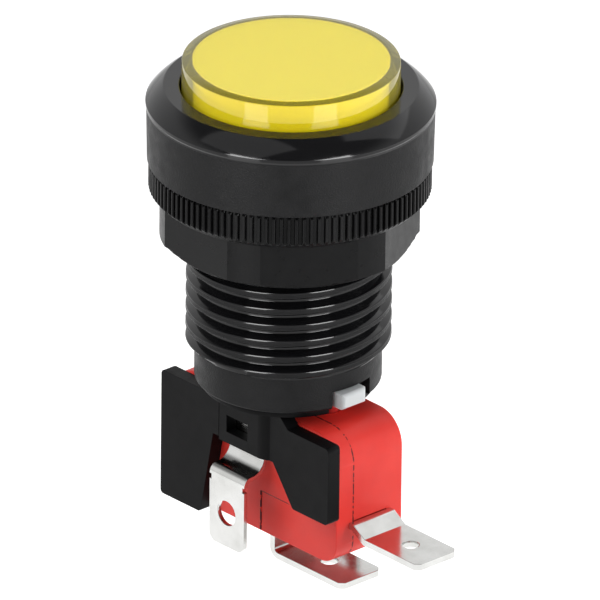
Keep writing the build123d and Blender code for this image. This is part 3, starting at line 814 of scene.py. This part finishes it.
class ARCADE_OT_lens(bpy.types.Operator):
    """Builds the clear lens cap, the yellow diffuser under it and the ring that they sit on"""

    bl_idname = "arcade_button.lens"
    bl_label = "Build lens"

    def execute(self, context):
        sizes = context.scene.arcade_moulding
        colours = context.scene.arcade_colours
        top = lens_high.z / MM
        bottom = lens_low.z / MM
        rim = lens_high.x / MM
        chamfer_width = 1.0
        chamfer_depth = 0.2
        draft = 0.05
        draft_end = housing_high.z / MM
        edge = diffuser_high.x / MM
        high = diffuser_high.z / MM
        low = diffuser_low.z / MM
        wall = 0.9
        skirt = 0.4
        shoulder = low - 2.4

        # The diffuser stands 0.01 mm in the cap's roof, so that no air shows between them; a thin gap of
        # air round it makes the clear rim a mirror
        inner = edge + 0.08
        roof = high - 0.01
        cap = turned_piece(
            "lens_cap_moulding",
            [
                (0.0, top, 0),
                (rim - chamfer_width, top, 0.12),
                (rim - draft, top - chamfer_depth, 0.12),
                (rim, draft_end, 0),
                (rim, bottom, 0.1),
                (inner, bottom, 0),
                (inner, roof, 0),
                (0.0, roof, 0),
            ],
            sizes.segments,
        )
        # Polycarbonate moulded clear and polished: glass-like. Its yellow tint, in the light it lets
        # through and in its part that is not clear, is painted light: it stands in for the diffuser's
        # yellow seen in the thick rim
        paint(cap, clear_plastic("Polycarbonate moulded clear", colours.clear, 0.03, 1.585, clear=0.85))
        finish_piece(cap, "plunger", "lens_cap", crease=30)
        cap.visible_shadow = False

        insert = turned_piece(
            "diffuser_moulding",
            [
                (0.0, high, 0),
                (edge, high, 0.15),
                (edge, shoulder, 0.1),
                (edge - skirt, shoulder, 0),
                (edge - skirt, low, 0),
                (edge - wall, low, 0),
                (edge - wall, high - wall, 0),
                (0.0, high - wall, 0),
            ],
            sizes.segments,
        )
        # Polycarbonate moulded in milky yellow: light goes a little way in, so shadows stay warm
        yellow = moulded_plastic(
            "Polycarbonate moulded milky yellow",
            (colours.yellow, "#F0E710"),
            roughness=0.45,
            grain=1.2 * MM,
            depth=0.001 * MM,
            ior=1.585,
            extra={
                "Subsurface Weight": 0.35,
                "Subsurface Radius": (1.0, 0.8, 0.1),
                "Subsurface Scale": 1.2 * MM,
                "Specular IOR Level": 0.05,
            },
        )
        paint(insert, yellow)
        finish_piece(insert, "plunger", "diffuser", crease=30)

        # The seat is stepped, and the diffuser's skirt hangs round the step with a little play
        base = seat_low.z / MM
        flange = seat_high.x / MM
        inside = edge - 1.3
        land = edge - skirt - 0.05
        step = shoulder - 0.02
        seat = turned_piece(
            "lens_seat_moulding",
            [
                (inside, base, 0),
                (flange, base, 0.05),
                (flange, bottom, 0.1),
                (edge, bottom, 0),
                (edge, step, 0.06),
                (land, step, 0),
                (land, low, 0.05),
                (inside, low, 0.05),
                (inside, base, 0),
            ],
            sizes.segments,
        )
        # ABS moulding that stays inside: plain dull black
        dull = moulded_plastic(
            "ABS moulded dull black",
            (colours.black_abs, "#121213"),
            roughness=0.45,
            grain=0.3 * MM,
            depth=0.01 * MM,
            extra={"Specular IOR Level": 0.25},
        )
        paint(seat, dull)
        finish_piece(seat, "plunger", "lens_seat", crease=30)
        return {"FINISHED"}


class ARCADE_OT_carrier(bpy.types.Operator):
    """Dresses the plunger carrier and the lamp's base, and winds the return spring"""

    bl_idname = "arcade_button.carrier"
    bl_label = "Build carrier and spring"

    def execute(self, context):
        sizes = context.scene.arcade_moulding
        colours = context.scene.arcade_colours
        # Acetal moulded natural: milky white, waxy, with shadows that glow a little
        acetal = moulded_plastic(
            "Acetal moulded natural white",
            (colours.white, "#DEE2E3"),
            roughness=0.38,
            grain=0.5 * MM,
            depth=0.008 * MM,
            ior=1.48,
            extra={
                "Subsurface Weight": 0.3,
                "Subsurface Radius": (1.0, 1.0, 1.0),
                "Subsurface Scale": 0.8 * MM,
            },
        )
        dress_node("plunger_carrier", acetal, 2 * sizes.edge_width)
        dress_node("lamp_base", acetal, sizes.edge_width)

        wire = 0.35
        mean = spring_high.x / MM - wire
        low = spring_low.z / MM + wire
        high = spring_high.z / MM - wire
        coils = 6
        coil_steps = 48
        wire_sides = 10
        end_share = 0.4
        count = coils * coil_steps
        upright = Vector((0.0, 0.0, 1.0))
        rows = []
        for number in range(count + 1):
            angle = FULL_TURN * number / coil_steps
            out = Vector((math.cos(angle), math.sin(angle), 0.0))
            middle = out * mean + upright * (low + (high - low) * number / count)
            size = wire if 0 < number < count else wire * end_share
            ring = []
            for side in range(wire_sides + 1):
                turn = FULL_TURN * side / wire_sides
                ring.append((middle + (out * math.cos(turn) + upright * math.sin(turn)) * size) * MM)
            rows.append(ring)
        mesh = bmesh.new()
        skin_rows(mesh, rows)
        bmesh.ops.holes_fill(mesh, edges=[edge for edge in mesh.edges if edge.is_boundary])
        bmesh.ops.recalc_face_normals(mesh, faces=mesh.faces)
        spring = new_piece("return_spring_wire", mesh)
        # Spring steel, cold drawn to wire: grey and half bright, faintly streaked
        paint(spring, rolled_metal("Spring steel drawn wire", ("#8E8F92", "#6E6F72"), 0.3, 0.2 * MM))
        finish_piece(spring, "base", "return_spring", crease=50)
        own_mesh(spring)
        return {"FINISHED"}


class ARCADE_OT_lamp(bpy.types.Operator):
    """Dresses the lamp holder, the lamp's dome and its leads"""

    bl_idname = "arcade_button.lamp"
    bl_label = "Dress lamp and holder"

    def execute(self, context):
        sizes = context.scene.arcade_moulding
        colours = context.scene.arcade_colours
        # Nylon moulding with a little glass fibre: dull black, slightly rough to the eye. The fibres
        # are about 0.01 mm thick; their marks are drawn at 0.25 mm so that they show.
        nylon = moulded_plastic(
            "Nylon moulded, glass filled",
            (colours.black_nylon, "#111112"),
            roughness=0.4,
            grain=0.25 * MM,
            depth=0.015 * MM,
            extra={"Specular IOR Level": 0.07},
        )
        dress_node("lamp_holder", nylon, sizes.edge_width)
        # Epoxy cast clear: a small lens over the lamp's chip
        dress_node("led_dome", clear_plastic("Epoxy cast clear", "#F4F6F6", 0.05, 1.54), 0.05 * MM)
        # Copper lead, hot tinned: bright and a little wavy
        lead = rolled_metal("Copper lead hot tinned", ("#CFCFCB", "#B3B3AE"), 0.25, 0.15 * MM)
        for name in ("lamp_lead_front", "lamp_lead_rear"):
            dress_node(name, lead, 0.01 * MM)
        return {"FINISHED"}


class ARCADE_OT_switch(bpy.types.Operator):
    """Dresses the microswitch: case, cover, pin, blade and contacts"""

    bl_idname = "arcade_button.switch"
    bl_label = "Dress switch"

    def execute(self, context):
        sizes = context.scene.arcade_moulding
        colours = context.scene.arcade_colours
        case_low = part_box("switch_case")[0]
        cover_low, cover_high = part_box("switch_cover")
        # The parting's broken dark line is painted shade in the closed seam between case and cover
        parting = ("Y", case_low.y, "Z", cover_low.z, cover_high.z, 0.48)
        step_top = cover_high.z - 10.8 * MM
        step_left = 1.25 * MM
        step_right = cover_high.x - 1.0 * MM
        # Broken dark lines along the top and left edges of the cover's shallow step
        step_lines = [
            ("Z", step_top, "X", step_left, step_right, 0.36),
            ("X", step_left, "Z", cover_low.z, step_top, 0.4),
        ]
        # Polyester moulded in red: satin, blotchy where the flow cooled, a fine even grain.
        # Broken dark lines run along the parting, as painted shade in the closed seam, and along the
        # edges of the cover's shallow step.
        reds = [
            ("switch_case", "Polyester moulded red, satin case", [parting]),
            ("switch_cover", "Polyester moulded red, satin cover", [parting] + step_lines),
        ]
        for node, name, seams in reds:
            red = moulded_plastic(
                name,
                (colours.red, "#FA4A40"),
                roughness=0.4,
                grain=0.22 * MM,
                depth=0.014 * MM,
                ior=1.55,
                extra={
                    "Subsurface Weight": 0.15,
                    "Subsurface Radius": (1.0, 0.25, 0.2),
                    "Subsurface Scale": 0.6 * MM,
                    "Specular IOR Level": 0.3,
                },
                seams=seams,
            )
            dress_node(node, red, 0.5 * sizes.edge_width)
        # Polyester moulded in dark red: the same satin skin on the small pin
        pin = moulded_plastic(
            "Polyester moulded dark red",
            ("#A8201E", "#BC2C29"),
            roughness=0.4,
            grain=0.22 * MM,
            depth=0.01 * MM,
        )
        dress_node("switch_plunger", pin, 0.05 * MM)
        # Copper alloy rolled to spring temper: warm and bright, faintly streaked
        blade = rolled_metal("Copper alloy rolled spring strip", ("#C88A52", "#A86E3E"), 0.25, 0.3 * MM)
        dress_node("snap_blade", blade, 0.03 * MM)
        # Fine silver, cold headed: pale and soft in its shine
        silver = rolled_metal("Fine silver cold headed", ("#E6E4DE", "#C9C6BE"), 0.22, 0.3 * MM)
        for name in ("moving_contact", "fixed_contact"):
            dress_node(name, silver, 0.02 * MM)
        return {"FINISHED"}


class ARCADE_OT_terminals(bpy.types.Operator):
    """Dresses the stamped blade terminals of the switch and of the lamp"""

    bl_idname = "arcade_button.terminals"
    bl_label = "Dress terminals"

    def execute(self, context):
        sizes = context.scene.arcade_moulding
        colours = context.scene.arcade_colours
        # Brass strip, stamped and bright tin plated: near mirror, softened by fine rolling lines
        tinned = rolled_metal(
            "Brass stamped and bright tin plated", (colours.tin, "#C6C6C3"), 0.16, 0.25 * MM
        )
        for name in ("lamp_terminal_front", "lamp_terminal_rear", "com_terminal", "no_terminal"):
            dress_node(name, tinned, sizes.stamped_edge)
        return {"FINISHED"}


def direction(turn, lift):
    """Where something stands, seen from the object, by its turn from the front and its lift"""
    return Vector(
        (math.sin(turn) * math.cos(lift), -math.cos(turn) * math.cos(lift), math.sin(lift))
    )


def aim_camera(scene, stage):
    """A long lens at the picture's viewing angle"""
    back = direction(stage.azimuth, stage.elevation)
    right = Vector((math.cos(stage.azimuth), math.sin(stage.azimuth), 0.0))
    up = back.cross(right)
    aim = Vector((0, 0, stage.aim_height)) + right * stage.aim_right
    lean_right = right * math.cos(stage.roll) + up * math.sin(stage.roll)
    lean_up = up * math.cos(stage.roll) - right * math.sin(stage.roll)
    lens = bpy.data.cameras.new("camera")
    lens.sensor_width = 36.0
    lens.lens = lens.sensor_width * stage.distance / stage.view_width
    lens.clip_start = 0.05
    lens.clip_end = 10.0
    camera = bpy.data.objects.new("camera", lens)
    scene.collection.objects.link(camera)
    turn = Matrix((lean_right, lean_up, back)).transposed().to_4x4()
    camera.matrix_world = Matrix.Translation(aim + back * stage.distance) @ turn
    scene.camera = camera


def hang_lamps(scene, stage):
    """Strips for the reflections and soft boxes for the light, all turned to the object's middle"""
    middle = Vector((0, 0, -15.0 * MM))
    # The strips show only as reflections, the strong upper ones in the black mouldings alone, the soft
    # low ones in the lens too. The boxes give the light, two of them to the diffuser alone.
    black = ("housing_moulding", "panel_nut_moulding")
    reached = {
        "black gloss": black,
        "gloss": black + ("lens_cap_moulding",),
        "yellow": ("diffuser_moulding",),
    }
    receivers = {}
    for rays, names in reached.items():
        receivers[rays] = bpy.data.collections.new("Receivers of " + rays)
        for name in names:
            receivers[rays].objects.link(bpy.data.objects[name])
    # Name, turn from the camera and lift in degrees, distance, width and height in metres, brightness
    # and what it reaches
    lamps = [
        ("left_strip", -35.0, 25.0, 0.16, 0.068, 0.13, 17.0, "black gloss"),
        ("right_strip", 35.0, 25.0, 0.16, 0.068, 0.13, 17.0, "black gloss"),
        ("left_low_strip", -35.0, -14.0, 0.13, 0.055, 0.05, 1.7, "gloss"),
        ("right_low_strip", 35.0, -14.0, 0.13, 0.055, 0.05, 1.7, "gloss"),
        ("left_box", -75.0, 30.0, 0.45, 0.35, 0.35, 2.3, "diffuse"),
        ("right_box", 78.0, 10.0, 0.45, 0.35, 0.35, 4.2, "diffuse"),
        ("top_box", -60.0, 64.0, 0.45, 0.34, 0.30, 0.8, "both"),
        ("rear_box", 120.0, 52.0, 0.45, 0.30, 0.30, 0.9, "both"),
        ("fill_box", -120.0, 75.0, 0.45, 0.30, 0.30, 0.8, "diffuse"),
        ("lens_left_box", -35.0, 22.0, 0.45, 0.35, 0.35, 2.6, "yellow"),
        ("lens_right_box", 35.0, 22.0, 0.45, 0.35, 0.35, 2.1, "yellow"),
    ]
    for name, turn, lift, far, wide, tall, bright, rays in lamps:
        lamp = bpy.data.lights.new(name, "AREA")
        lamp.shape = "RECTANGLE"
        lamp.size = wide
        lamp.size_y = tall
        lamp.energy = bright * math.pi * wide * tall
        # A ray that leaves the diffuser meets the lens before it meets the diffuser's own lamps
        lamp.cycles.use_multiple_importance_sampling = rays != "yellow"
        holder = bpy.data.objects.new(name, lamp)
        scene.collection.objects.link(holder)
        holder.visible_camera = False
        holder.visible_diffuse = "gloss" not in rays
        holder.visible_glossy = "gloss" in rays or rays == "both"
        holder.visible_transmission = False
        if rays in receivers:
            holder.light_linking.receiver_collection = receivers[rays]
        way = direction(stage.azimuth + math.radians(turn), math.radians(lift))
        holder.location = middle + way * far
        holder.rotation_euler = way.to_track_quat("Z", "Y").to_euler()


def rays_of_the_eye(tree):
    """Gives the Light Path node, and a socket that is 1 for the camera's rays, through the lens too

    The lens casts no shadow, so the light under it is counted already: what a ray finds through the
    lens after a diffuse bounce is left out.
    """
    path = add_node(tree, "ShaderNodeLightPath")
    direct = add_node(
        tree, "ShaderNodeMath", {"operation": "LESS_THAN"}, {0: path.outputs["Diffuse Depth"], 1: 0.5}
    )
    through = add_node(
        tree,
        "ShaderNodeMath",
        {"operation": "MULTIPLY"},
        {0: path.outputs["Is Transmission Ray"], 1: direct.outputs["Value"]},
    )
    seen = add_node(
        tree,
        "ShaderNodeMath",
        {"operation": "MAXIMUM"},
        {0: path.outputs["Is Camera Ray"], 1: through.outputs["Value"]},
    )
    return path, seen.outputs["Value"]


def paint_surround(scene):
    """White to the eye; a dim room to the object, which mirrors it as white up to some 30 degrees"""
    world = bpy.data.worlds.new("studio")
    scene.world = world
    world.use_nodes = True
    tree = world.node_tree
    tree.nodes.clear()
    path, seen = rays_of_the_eye(tree)
    place = add_node(tree, "ShaderNodeTexCoord")
    axes = add_node(tree, "ShaderNodeSeparateXYZ", inputs={"Vector": place.outputs["Generated"]})
    ceiling = add_node(
        tree,
        "ShaderNodeMapRange",
        {"interpolation_type": "SMOOTHSTEP"},
        {"Value": axes.outputs["Z"], "From Min": 0.25, "From Max": 0.85, "To Min": 0.3, "To Max": 0.1},
    )
    gloss = add_node(
        tree,
        "ShaderNodeMapRange",
        {"interpolation_type": "SMOOTHSTEP"},
        {"Value": axes.outputs["Z"], "From Min": 0.5, "From Max": 0.75, "To Min": 1.0, "To Max": 0.2},
    )
    room = add_node(
        tree,
        "ShaderNodeMix",
        {"data_type": "FLOAT"},
        {
            SHARE: path.outputs["Is Glossy Ray"],
            FLOAT_A: ceiling.outputs["Result"],
            FLOAT_B: gloss.outputs["Result"],
        },
    )
    outside = add_node(
        tree,
        "ShaderNodeMath",
        {"operation": "SUBTRACT"},
        {0: 1.0, 1: path.outputs["Is Transmission Ray"]},
    )
    light = add_node(
        tree,
        "ShaderNodeMath",
        {"operation": "MULTIPLY"},
        {0: room.outputs[FLOAT_RESULT], 1: outside.outputs["Value"]},
    )
    level = add_node(
        tree,
        "ShaderNodeMix",
        {"data_type": "FLOAT"},
        {SHARE: seen, FLOAT_A: light.outputs["Value"], FLOAT_B: 1.0},
    )
    sky = add_node(
        tree,
        "ShaderNodeBackground",
        inputs={"Color": linear("#FFFFFF"), "Strength": level.outputs[FLOAT_RESULT]},
    )
    add_node(tree, "ShaderNodeOutputWorld", inputs={"Surface": sky.outputs["Background"]})


def lay_floor(stage):
    """A white card under the object, which is staged"""
    fleck_size = 40 * MM
    glow_level = 0.62
    mesh = bmesh.new()
    bmesh.ops.create_grid(mesh, x_segments=4, y_segments=4, size=stage.floor_size / 2)
    floor = new_piece("floor", mesh)
    floor.location.z = cad_low.z - stage.floor_gap
    # Card, smooth and white: clean and even, it takes the object's soft shadow
    card, tree, place = start_material("Card, smooth white")
    fleck = add_node(
        tree, "ShaderNodeTexNoise", inputs={"Vector": place, "Scale": 1 / fleck_size, "Detail": 2.0}
    )
    tone = add_node(
        tree,
        "ShaderNodeMix",
        {"data_type": "RGBA"},
        {SHARE: fleck.outputs["Fac"], COLOUR_A: linear("#F6F6F6"), COLOUR_B: linear("#FAFAFA")},
    )
    paper = add_node(tree, "ShaderNodeBsdfDiffuse", inputs={"Color": tone.outputs[COLOUR_RESULT]})
    path, seen = rays_of_the_eye(tree)
    shown = add_node(
        tree, "ShaderNodeMath", {"operation": "MAXIMUM"}, {0: seen, 1: path.outputs["Is Glossy Ray"]}
    )
    lift = add_node(
        tree, "ShaderNodeMath", {"operation": "MULTIPLY"}, {0: shown.outputs["Value"], 1: glow_level}
    )
    glow = add_node(
        tree,
        "ShaderNodeEmission",
        inputs={"Color": linear("#FFFFFF"), "Strength": lift.outputs["Value"]},
    )
    both = add_node(tree, "ShaderNodeAddShader", inputs={0: paper.outputs[0], 1: glow.outputs[0]})
    paint(floor, end_material(card, both))


class ARCADE_OT_stage(bpy.types.Operator):
    """Sets the camera, the lights, the white surround and the floor"""

    bl_idname = "arcade_button.stage"
    bl_label = "Set stage"

    def execute(self, context):
        stage = context.scene.arcade_stage
        aim_camera(context.scene, stage)
        hang_lamps(context.scene, stage)
        paint_surround(context.scene)
        lay_floor(stage)
        context.scene.view_settings.view_transform = "Standard"
        return {"FINISHED"}


OPERATORS = (
    ARCADE_OT_housing,
    ARCADE_OT_nut,
    ARCADE_OT_lens,
    ARCADE_OT_carrier,
    ARCADE_OT_lamp,
    ARCADE_OT_switch,
    ARCADE_OT_terminals,
    ARCADE_OT_stage,
)


class ARCADE_PT_panel(bpy.types.Panel):
    """Lists the settings and the pieces of the push button"""

    bl_idname = "ARCADE_PT_panel"
    bl_label = "Push button"
    bl_space_type = "VIEW_3D"
    bl_region_type = "UI"
    bl_category = "Push button"

    def draw(self, context):
        scene = context.scene
        for group in (scene.arcade_moulding, scene.arcade_colours, scene.arcade_stage):
            for name in group.__annotations__:
                self.layout.prop(group, name)
        for operator in OPERATORS:
            self.layout.operator(operator.bl_idname)


CLASSES = (MouldingSettings, ColourSettings, StageSettings) + OPERATORS + (ARCADE_PT_panel,)


def register():
    """Registers the classes and hangs the settings on the scene"""
    for each in CLASSES:
        bpy.utils.register_class(each)
    bpy.types.Scene.arcade_moulding = PointerProperty(type=MouldingSettings)
    bpy.types.Scene.arcade_colours = PointerProperty(type=ColourSettings)
    bpy.types.Scene.arcade_stage = PointerProperty(type=StageSettings)


def unregister():
    """Takes back what register did"""
    del bpy.types.Scene.arcade_stage
    del bpy.types.Scene.arcade_colours
    del bpy.types.Scene.arcade_moulding
    for each in reversed(CLASSES):
        bpy.utils.unregister_class(each)


def main():
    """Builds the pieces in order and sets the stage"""
    register()
    bpy.ops.arcade_button.housing()
    bpy.ops.arcade_button.nut()
    bpy.ops.arcade_button.lens()
    bpy.ops.arcade_button.carrier()
    bpy.ops.arcade_button.lamp()
    bpy.ops.arcade_button.switch()
    bpy.ops.arcade_button.terminals()
    bpy.ops.arcade_button.stage()


if __name__ == "__main__":
    main()
